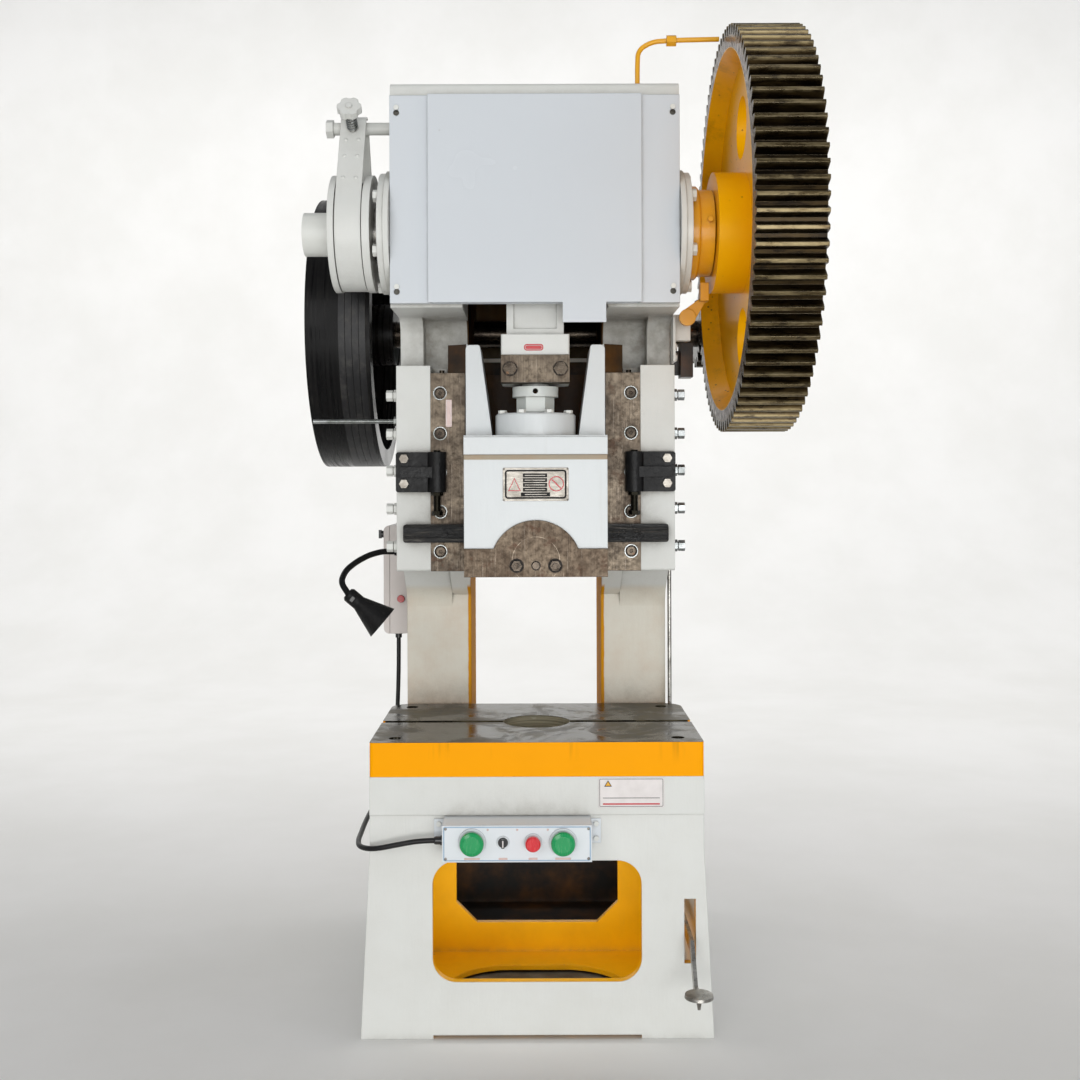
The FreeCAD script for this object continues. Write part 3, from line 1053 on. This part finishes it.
def connecting_rod():
    """The big end's hole is longer than the pin, so the rod can stay upright as the pin goes round."""
    big_end = slab("big_end", "YZ", ("-big_end_half", "big_end_half"),
                   [[("big_front", "crank_z + throw - big_reach", 60),
                     ("big_back", "crank_z + throw - big_reach", 60),
                     ("big_back", "crank_z + throw + big_reach", 60),
                     ("big_front", "crank_z + throw + big_reach", 60)]])
    reach = "pin_radius + pin_bush_wall + free_gap"
    shank = block("rod_shank", ("-rod_half", "rod_half"), ("-rod_depth", "rod_depth"),
                  ("clamp_high - 1", "crank_z + throw - big_reach + 40"))
    panel = [block("rod_panel", ("-rod_half + 16", "rod_half - 16"), span,
                   ("clamp_high + 16", "crank_z + throw - big_reach - 14"))
             for span in (("-rod_depth - 1", "-rod_depth + 6"), ("rod_depth - 6", "rod_depth + 1"))]
    clamp = slab("rod_clamp", "XY", ("clamp_low", "clamp_high"),
                 [[("-clamp_half", "clamp_front", 5), ("clamp_half", "clamp_front", 5),
                   ("clamp_half", "-clamp_front", 30), ("-clamp_half", "-clamp_front", 30)]])
    cap_room = block("cap_room", ("-clamp_half - 1", "clamp_half + 1"), ("clamp_front - 1", "clamp_split"),
                     ("clamp_low - 1", "clamp_cap_high + seat_gap"))
    pin_way = slab("pin_way", "YZ", ("-big_end_half - 1", "big_end_half + 1"),
                   [[(f"-({reach})", f"crank_z + throw - ({reach}) - cosine_gap", reach),
                     (f"throw + {reach}", f"crank_z + throw - ({reach}) - cosine_gap", reach),
                     (f"throw + {reach}", f"crank_z + throw + {reach} + cosine_gap", reach),
                     (f"-({reach})", f"crank_z + throw + {reach} + cosine_gap", reach)]])
    bore = rod("screw_way", "z", ("clamp_low - 1", "screw_bore_top"), (0, 0), "screw_radius + running_gap")
    holes = [rod("clamp_way", "y", ("clamp_split - 1", "clamp_split + 50"), (f"{sign}clamp_bolt_x",
                                                                             "clamp_bolt_z"),
                 "clamp_bolt + seat_gap") for sign in ("", "-")]
    keep(cut("connecting_rod", fuse("rod_blank", [big_end, shank, clamp]),
             panel + [cap_room, pin_way, bore] + holes))
    cap = slab("cap_blank", "XZ", ("clamp_front - 6", "clamp_split - seat_gap"),
               [[("-clamp_half", "clamp_low"), ("clamp_half", "clamp_low"),
                 ("clamp_half", "clamp_cap_high"), ("-clamp_half", "clamp_cap_high")]])
    cap_bore = rod("cap_bore", "z", ("clamp_low - 1", "clamp_cap_high + 1"), (0, 0),
                   "screw_radius + running_gap")
    cap_holes = [rod("cap_hole", "y", ("clamp_front - 7", "clamp_split"), (f"{sign}clamp_bolt_x",
                                                                         "clamp_bolt_z"),
                     "clamp_bolt + seat_gap") for sign in ("", "-")]
    keep(cut("clamp_cap", cap, [cap_bore] + cap_holes))
    keep(group("clamp_bolts", [bolt("clamp_bolt_bar", "y", "clamp_front - 6", "clamp_split + 46",
                                    (f"{sign}clamp_bolt_x", "clamp_bolt_z"), "clamp_bolt", 27, 11, "-")
                               for sign in ("", "-")]))


def adjusting_screw():
    """The screw that sets the ram's height: thread, collar for a bar, hexagon and ball end."""
    parts = [rod("screw_thread", "z", ("collar_high - 1", "screw_top"), (0, 0), "screw_radius"),
             rod("screw_collar", "z", ("collar_low", "collar_high"), (0, 0), "collar_radius"),
             hexagon("screw_hex", "z", ("hex_low", "collar_low"), (0, 0), "hex_flats"),
             rod("screw_neck", "z", ("ball_z", "hex_low + 1"), (0, 0), "neck_radius"),
             ball("screw_ball", (0, 0, "ball_z"), "ball_radius")]
    holes = [rod("tommy_hole", axis, ("-collar_radius - 1", "collar_radius + 1"),
                 (0, "(collar_low + collar_high) / 2"), 6) for axis in "xy"]
    keep(cut("adjusting_screw", fuse("screw_blank", parts), holes))


def ram():
    """The slide: body with the ball seat, V-rails, cheeks, knock-out slot and shank clamp pocket."""
    flank = "rail_mouth - slide_gap"
    rail = [("ram_half - 2", f"rail_y - {flank}"), ("rail_apex - 1.5 * slide_gap", "rail_y - rail_tip"),
            ("rail_apex - 1.5 * slide_gap", "rail_y + rail_tip"), ("ram_half - 2", f"rail_y + {flank}")]
    body = block("ram_body", ("-ram_half", "ram_half"), ("-ram_depth", "ram_depth"), ("ram_low", "ram_high"))
    lip = block("ram_lip", ("-ram_half", "ram_half"), ("-ram_depth - lip_proud", "-ram_depth + 1"),
                ("lip_low", "ram_high - 4"))
    cheek = slab("ram_cheek", "XZ", ("cheek_front", "ram_depth"),
                 [[("ram_half", "ram_high - 1"), ("ram_half", "cheek_top", 10),
                   ("ram_half - cheek_wall", "cheek_top", 6), ("ram_half - cheek_root", "ram_high - 1")]])
    right_rail = slab("ram_rail", "XY", ("ram_low + 6", "rail_top"), [rail])
    sides = [cheek, right_rail, mirrored("ram_cheek_left", cheek), mirrored("ram_rail_left", right_rail)]
    seat = [ball("ball_seat", (0, 0, "ball_z"), "ball_radius + running_gap"),
            rod("ball_mouth", "z", ("ball_z", "ram_high + 1"), (0, 0), "ball_radius + running_gap"),
            rod("gland_room", "z", ("ram_high", "ram_high + 60"), (0, 0), "gland_radius + free_gap")]
    slot = block("bar_slot", ("-gib_half", "gib_half"), ("bar_front - free_gap", "bar_back + free_gap"),
                 ("bar_low", "bar_high + bar_travel + free_gap"))
    screws = [rod("gland_screw_way", "z", ("ram_high - 26", "ram_high + 1"), across, "gland_bolt + seat_gap")
              for across in gland_spots()]
    studs = [rod("stud_way", "y", ("-1", "34"), (f"{sign}stud_x", "stud_at_z"), 6.2) for sign in ("", "-")]
    shank = rod("shank_way", "z", ("ram_low - 1", "ram_low + shank_deep"), (0, 0), "shank_radius")
    keep(cut("ram", fuse("ram_blank", [body, lip] + sides),
             seat + [slot, clamp_shape("clamp_pocket", "0", "seat_gap"), shank] + screws + studs))

    corners = [("ram_high", "neck_radius + 4"), ("gland_high", "neck_radius + 4"),
               ("gland_high", "gland_radius - 4"), ("gland_high - 4", "gland_radius"),
               ("ram_high", "gland_radius")]
    gland_holes = [rod("gland_hole", "z", ("ram_high - 1", "gland_high + 1"), across,
                       "gland_bolt + seat_gap")
                   for across in gland_spots()]
    seat_top = ball("gland_seat", (0, 0, "ball_z"), "ball_radius + running_gap")
    keep(cut("ball_gland", turned("gland_blank", "z", (0, 0), corners), [seat_top] + gland_holes))
    fasteners["ram_bolts"] += [bolt("gland_bolt_bar", "z", "gland_high", "ram_high - 24", across,
                                    "gland_bolt", 17, 7, "+") for across in gland_spots()]


def gland_spots():
    return [(f"gland_bolts_at * cos({turn} deg)", f"gland_bolts_at * sin({turn} deg)")
            for turn in (22.5 + 45 * step for step in range(8))]


def clamp_shape(name, back, grow):
    """The shank clamp's outline, a strip with a half disc on it, from the ram's front to the back."""
    front = "-ram_depth - clamp_proud" if grow == "0" else "-ram_depth - clamp_proud - 10"
    strip = block(name + "_strip", (f"-ram_half - 10 * ({grow})", f"ram_half + 10 * ({grow})"), (front,
                                                                                                 back),
                  (f"ram_low - 10 * ({grow})", f"clamp_strip + {grow}"))
    disc = rod(name + "_disc", "y", (front, back), (0, "clamp_arc_z"), f"clamp_arc + {grow}")
    trim = block(name + "_trim", (-200, 200), (f"{front} - 1", f"{back} + 1"), (800,
                                                                                f"ram_low - 10 * ({grow})"))
    return cut(name, fuse(name + "_blank", [strip, disc]), [trim])


def shank_clamp():
    """The bare steel cap that grips the upper tool's shank against the ram."""
    way = rod("clamp_shank_way", "z", ("ram_low - 1", "ram_low + shank_deep"), (0, 0), "shank_radius")
    bar_way = block("clamp_bar_way", ("-gib_half", "gib_half"), ("bar_front - free_gap", "bar_back + 20"),
                    ("bar_low - 2", "bar_high + bar_travel + 2"))
    holes = [rod("clamp_stud_way", "y", ("-ram_depth - 30", "1"), (f"{sign}stud_x", "stud_at_z"), 6.2)
             for sign in ("", "-")]
    holes.append(rod("clamp_set_way", "y", ("-ram_depth - 30", "1"), (0, "stud_at_z"), 8.2))
    keep(cut("shank_clamp", clamp_shape("clamp_blank", "-seat_gap", "0"), [way, bar_way] + holes))
    studs = []
    for sign in ("", "-"):
        across = (f"{sign}stud_x", "stud_at_z")
        studs.append(fuse("clamp_stud", [
            rod("clamp_stud_bar", "y", ("-ram_depth - clamp_proud - 20", "32"), across, 6),
            hexagon("clamp_nut", "y", ("-ram_depth - clamp_proud - 12", "-ram_depth - clamp_proud"), across,
                    21)]))
    studs.append(rod("clamp_set_screw", "y", ("-ram_depth - clamp_proud - 5", "-shank_radius - 1"),
                     (0, "stud_at_z"), 8))
    fasteners["ram_bolts"] += studs


def knockout_bar():
    bar = slab("bar_blank", "XZ", ("bar_front", "bar_back"),
               [[("-bar_half", "bar_low", 6), ("bar_half", "bar_low", 6), ("bar_half", "bar_high", 6),
                 ("-bar_half", "bar_high", 6)]])
    pins = [rod("bar_pin", "y", ("bar_front - 9", "bar_front + 1"), (x, "(bar_low + bar_high) / 2"), 4.5)
            for x in (-204, 237)]
    keep(fuse("knockout_bar", [bar] + pins))


# ---- Controls, cabinet, cable and lamp ----

def control_box():
    """A shallow sheet box under the bed, its front panel, and the five things set in the panel."""
    back = "base_front"
    case = block("box_case", ("box_left", "box_right"), ("box_front", back), ("box_low", "box_high"))
    room = block("box_room", ("box_left + box_wall", "box_right - box_wall"),
                 ("box_front - 1", f"{back} - box_wall"), ("box_low + box_wall", "box_high - box_wall"))
    ears = [block("box_ear", span, (f"{back} - 3", back), ("box_low + 18", "box_high - 6"))
            for span in (("box_left - 22", "box_left + 1"), ("box_right - 1", "box_right + 22"))]
    way = rod("box_cord_way", "x", ("box_left - 1", "box_left + 5"), ("box_front + 34", "button_z - 6"),
              "cord_radius + 0.3")
    keep(cut("control_box", fuse("box_blank", [cut("box_hollow", case, [room])] + ears), [way]))
    fasteners["frame_bolts"] += [hexagon("box_bolt", "y", (f"{back} - 8", f"{back} - 3"), (x, z), 10)
                                 for x in ("box_left - 12", "box_right + 12")
                                 for z in ("box_low + 28", "box_high - 16")]

    panel = block("panel_blank", ("box_left", "box_right"), ("box_front - 2", "box_front"),
                  ("box_low", "box_high"))
    stems = (("palm_left", 8), ("palm_right", 8), ("selector_at", 5), ("stop_at", 6))
    ways = [rod("panel_way", "y", ("box_front - 3", "box_front + 1"), (x, "button_z"),
                f"{radius} + running_gap") for x, radius in stems]
    bezels = [cut("panel_plate", panel, ways)]
    for x, outer, (_, radius) in (("palm_left", "palm_radius + 3.5", stems[0]),
                                  ("palm_right", "palm_radius + 3.5", stems[1]),
                                  ("selector_at", "selector_radius + 3", stems[2]),
                                  ("stop_at", "stop_radius + 2", stems[3])):
        ring = rod("bezel", "y", ("box_front - 6", "box_front - 2"), (x, "button_z"), outer)
        bezels.append(cut("bezel_ring", ring, [rod("bezel_way", "y", ("box_front - 7", "box_front - 1"),
                                                   (x, "button_z"), f"{radius} + running_gap")]))
    keep(fuse("control_panel", bezels))
    for name, x in (("left_palm_button", "palm_left"), ("right_palm_button", "palm_right")):
        keep(turned(name, "y", (x, "button_z"),
                    [("box_front - 26", 0), ("box_front - 26", "palm_radius - 8"),
                     ("box_front - 23", "palm_radius - 1.5"), ("box_front - 20", "palm_radius"),
                     ("box_front - 14", "palm_radius"), ("box_front - 12.5", 9.5), ("box_front - 12", 8),
                     ("box_front + 24", 8), ("box_front + 24", 0)]))
    keep(turned("stop_button", "y", ("stop_at", "button_z"),
                [("box_front - 24", 0), ("box_front - 24", "stop_radius - 3"),
                 ("box_front - 21", "stop_radius"), ("box_front - 14", "stop_radius"),
                 ("box_front - 12", 7), ("box_front - 11.5", 6), ("box_front + 22", 6),
                 ("box_front + 22", 0)]))
    dial = turned("selector_dial", "y", ("selector_at", "button_z"),
                  [("box_front - 9", 0), ("box_front - 9", "selector_radius"),
                   ("box_front - 6.2", "selector_radius + 1"), ("box_front - 6.2", 5),
                   ("box_front + 20", 5), ("box_front + 20", 0)])
    grip = block("selector_grip", ("selector_at - 3", "selector_at + 3"), ("box_front - 17",
                                                                           "box_front - 8"),
                 ("button_z - selector_radius + 0.5", "button_z + selector_radius - 0.5"))
    keep(fuse("selector_knob", [dial, grip]))


def cable():
    """The control cable: from the box round the base's left side and up into the cabinet."""
    box_gland = turned("box_gland", "x", ("box_front + 34", "button_z - 6"),
                       [("box_left", "cord_radius + 0.1"), ("box_left", 10), ("box_left - 6", 10),
                        ("box_left - 6", 8.5), ("box_left - 16", 8.5), ("box_left - 19",
                                                                        "cord_radius + 1.5"),
                        ("box_left - 19", "cord_radius + 0.1")])
    route = [Vector(-193, -266, 428), Vector(-240, -266, 428), Vector(-290, -263, 418),
             Vector(-338, -256, 407), Vector(-372, -226, 403), Vector(-381, -178, 404),
             Vector(-383, -120, 402), Vector(-384, -58, 405), Vector(-382, 6, 410), Vector(-380, 68, 411),
             Vector(-381, 130, 407), Vector(-383, 192, 402), Vector(-384, 254, 401),
             Vector(-382, 316, 406), Vector(-378, 374, 420), Vector(-372, 418, 456),
             Vector(-367, 436, 510), Vector(-364, 443, 575), Vector(-362, 448, 642),
             Vector(-361, 450, 708), Vector(-361, 450, 774)]
    print("cable length", round(sum((a - b).Length for a, b in zip(route, route[1:])), 1))
    keep(swept_route("control_cable", route, size("cord_radius")))
    cabinet_gland = turned("cabinet_gland", "z", (-361, 450),
                           [("cabinet_low - 16", "cord_radius + 0.1"), ("cabinet_low - 16", 8.5),
                            ("cabinet_low - 6", 8.5), ("cabinet_low - 6", 11), ("cabinet_low", 11),
                            ("cabinet_low", "cord_radius + 0.1")])
    keep(group("cable_glands", [box_gland, cabinet_gland]))


def cabinet():
    """The electrical cabinet on the left column: shell, side door with latch, and a red button."""
    wall = "cabinet_wall"
    door_line = "cabinet_out + door_deep"
    shell = slab("cabinet_blank", "XZ", ("cabinet_front", "cabinet_back"),
                 [[(f"{door_line}", "cabinet_low"), ("cabinet_in", "cabinet_low", 8),
                   ("cabinet_in", "cabinet_high", 8), (f"{door_line}", "cabinet_high")]])
    room = block("cabinet_room", (f"{door_line} - 1", f"cabinet_in - {wall}"),
                 (f"cabinet_front + {wall}", f"cabinet_back - {wall}"),
                 (f"cabinet_low + {wall}", f"cabinet_high - {wall}"))
    feet = [block("cabinet_foot", ("cabinet_in - 1", "-head_half"), (440, 480), span)
            for span in (("cabinet_low + 30", "cabinet_low + 60"), ("cabinet_high - 60",
                                                                    "cabinet_high - 30"))]
    plate = block("cabinet_back_plate", ("cabinet_in - 1", "-head_half"), ("column_back - 45",
                                                                           "column_back"),
                  ("cabinet_low + 30", "cabinet_high - 30"))
    way = rod("cabinet_button_way", "y", ("cabinet_front - 1", "cabinet_front + 5"), (-349, 864),
              "6 + running_gap")
    cord_way = rod("cabinet_cord_way", "z", ("cabinet_low - 1", "cabinet_low + 5"), (-361, 450),
                   "cord_radius + 0.3")
    knuckles = [rod("cabinet_knuckle", "z", span, (f"{door_line} + 2", "cabinet_back + 6"), 5)
                for span in (("cabinet_low + 45", "cabinet_low + 75"), ("cabinet_high - 75",
                                                                        "cabinet_high - 45"))]
    pins = [rod("cabinet_pin", "z", span, (f"{door_line} + 2", "cabinet_back + 6"), 2.5)
            for span in (("cabinet_low + 20", "cabinet_low + 75"), ("cabinet_high - 75",
                                                                    "cabinet_high - 20"))]
    keep(cut("cabinet_body", fuse("cabinet_shell", [cut("cabinet_hollow", shell, [room])] + feet + [plate]
                                  + knuckles + pins), [way, cord_way]))

    door = slab("door_blank", "XZ", ("cabinet_front", "cabinet_back"),
                [[("cabinet_out", "cabinet_low", "cabinet_corner"), (f"{door_line} - 0.6", "cabinet_low"),
                  (f"{door_line} - 0.6", "cabinet_high"), ("cabinet_out", "cabinet_high",
                                                           "cabinet_corner")]])
    hollow = block("door_hollow", (f"cabinet_out + {wall}", f"{door_line}"),
                   (f"cabinet_front + {wall}", f"cabinet_back - {wall}"),
                   (f"cabinet_low + {wall}", f"cabinet_high - {wall}"))
    lugs = []
    for low, high in (("cabinet_low + 20", "cabinet_low + 44.5"), ("cabinet_high - 44.5",
                                                                   "cabinet_high - 20")):
        lugs.append(rod("door_lug", "z", (low, high), (f"{door_line} + 2", "cabinet_back + 6"), 5))
        lugs.append(block("door_leaf", (f"{door_line} - 6", f"{door_line} - 0.6"),
                          ("cabinet_back - 5", "cabinet_back + 6"), (low, high)))
    pin_ways = [rod("door_pin_way", "z", (f"{low} - 1", f"{high} + 1"), (f"{door_line} + 2",
                                                                         "cabinet_back + 6"),
                    "2.5 + running_gap")
                for low, high in (("cabinet_low + 20", "cabinet_low + 45"),
                                  ("cabinet_high - 45", "cabinet_high - 20"))]
    pin_ways.append(rod("latch_way", "x", ("cabinet_out - 1", "cabinet_out + 4"), (430, 1030),
                        "5 + running_gap"))
    latch = [rod("door_latch", "x", ("cabinet_out - 10", "cabinet_out - 0.4"), (430, 1030), 9),
             rod("latch_spindle", "x", ("cabinet_out - 1", "cabinet_out + 8"), (430, 1030), 5),
             block("door_latch_grip", ("cabinet_out - 16", "cabinet_out - 8"), (427, 433), (1019, 1041))]
    keep(cut("cabinet_door", fuse("door_with_lugs", [cut("door_shell", door, [hollow])] + lugs), pin_ways))
    keep(fuse("door_latch_knob", latch))
    keep(turned("cabinet_button", "y", (-349, 864),
                [("cabinet_front - 12", 0), ("cabinet_front - 12", 9), ("cabinet_front - 5", 10),
                 ("cabinet_front - 5", 6), ("cabinet_front + 14", 6), ("cabinet_front + 14", 0)]))


def lamp():
    """Work lamp: base on the left side, bent neck, cone shade with a switch, and its bulb."""
    base = turned("lamp_base", "x", (150, 1000),
                  [("-head_half", 0), ("-head_half", 17), ("-head_half - 6", 17), ("-head_half - 9", 11),
                   ("-head_half - 20", 9), ("-head_half - 20", 0)])
    tail = Vector(-428, 0, 914)
    mouth = Vector(-344, 0, 843)
    aim = (mouth - tail).normalize()
    route = [Vector(-338, 150, 1000), Vector(-366, 140, 1001), Vector(-394, 116, 994),
             Vector(-420, 84, 980), Vector(-440, 48, 962), Vector(-446, 16, 938), tail + aim * 2]
    neck = swept_route("neck_run", route, 7)
    keep(fuse("lamp_stand", [base, neck]))
    section = Part.makePolygon([Vector(*spot) for spot in (
        (0, 0, 0), (13, 0, 0), (17, 0, 5), (17, 0, 34), (41, 0, 104), (39, 0, 104), (15, 0, 34.6),
        (15, 0, 6), (0, 0, 6), (0, 0, 0))])
    shade = Part.Face(section).revolve(Vector(0, 0, 0), Vector(0, 0, 1), 360)
    turn = FreeCAD.Rotation(Vector(0, 0, 1), aim)
    switch_way = Part.makeBox(12.4, 8.4, 8, Vector(-6.2, -19.5, 13.8))
    shade = shade.cut(switch_way)
    shade.Placement = FreeCAD.Placement(tail, turn)
    keep(shaped("lamp_shade", shade.cut(neck.Shape)))
    bulb = Part.makeCylinder(9, 36, Vector(0, 0, 6)).fuse(Part.makeSphere(19, Vector(0, 0, 58)))
    bulb.Placement = FreeCAD.Placement(tail, turn)
    keep(shaped("lamp_bulb", bulb))
    rocker = Part.makeBox(12, 8, 7.6, Vector(-6, -21.5, 14))
    rocker.Placement = FreeCAD.Placement(tail, turn)
    keep(shaped("lamp_switch", rocker))


def fastener_groups():
    """Screws and bolts of one kind on one body share a node."""
    for name, items in fasteners.items():
        keep(group(name, items))


def check_and_write():
    """Every object sound and every sub-part a valid shape before anything is written."""
    document.recompute()
    faults = [item.Label for item in document.Objects
              if "Invalid" in item.State or "Error" in item.State]
    faults += [item.Label for item in pieces if item.Shape.isNull() or not item.Shape.isValid()
               or not item.Shape.Solids]
    if faults:
        raise RuntimeError("unsound: " + ", ".join(faults))
    os.makedirs("parts", exist_ok=True)
    for item in pieces:
        item.Shape.exportStep(f"parts/{item.Label}.step")
    print(len(pieces), "sub-parts,", sum(len(item.Shape.Solids) for item in pieces), "solids")


pedestal()
frame()
bolster()
head_cover()
bearings()
gibs()
stop_brackets()
small_frame_pieces()
brake()
crank_line()
trip()
pedal()
gear_train()
flywheel()
motor()
belts()
connecting_rod()
adjusting_screw()
ram()
shank_clamp()
knockout_bar()
control_box()
cable()
cabinet()
lamp()
fastener_groups()
check_and_write()
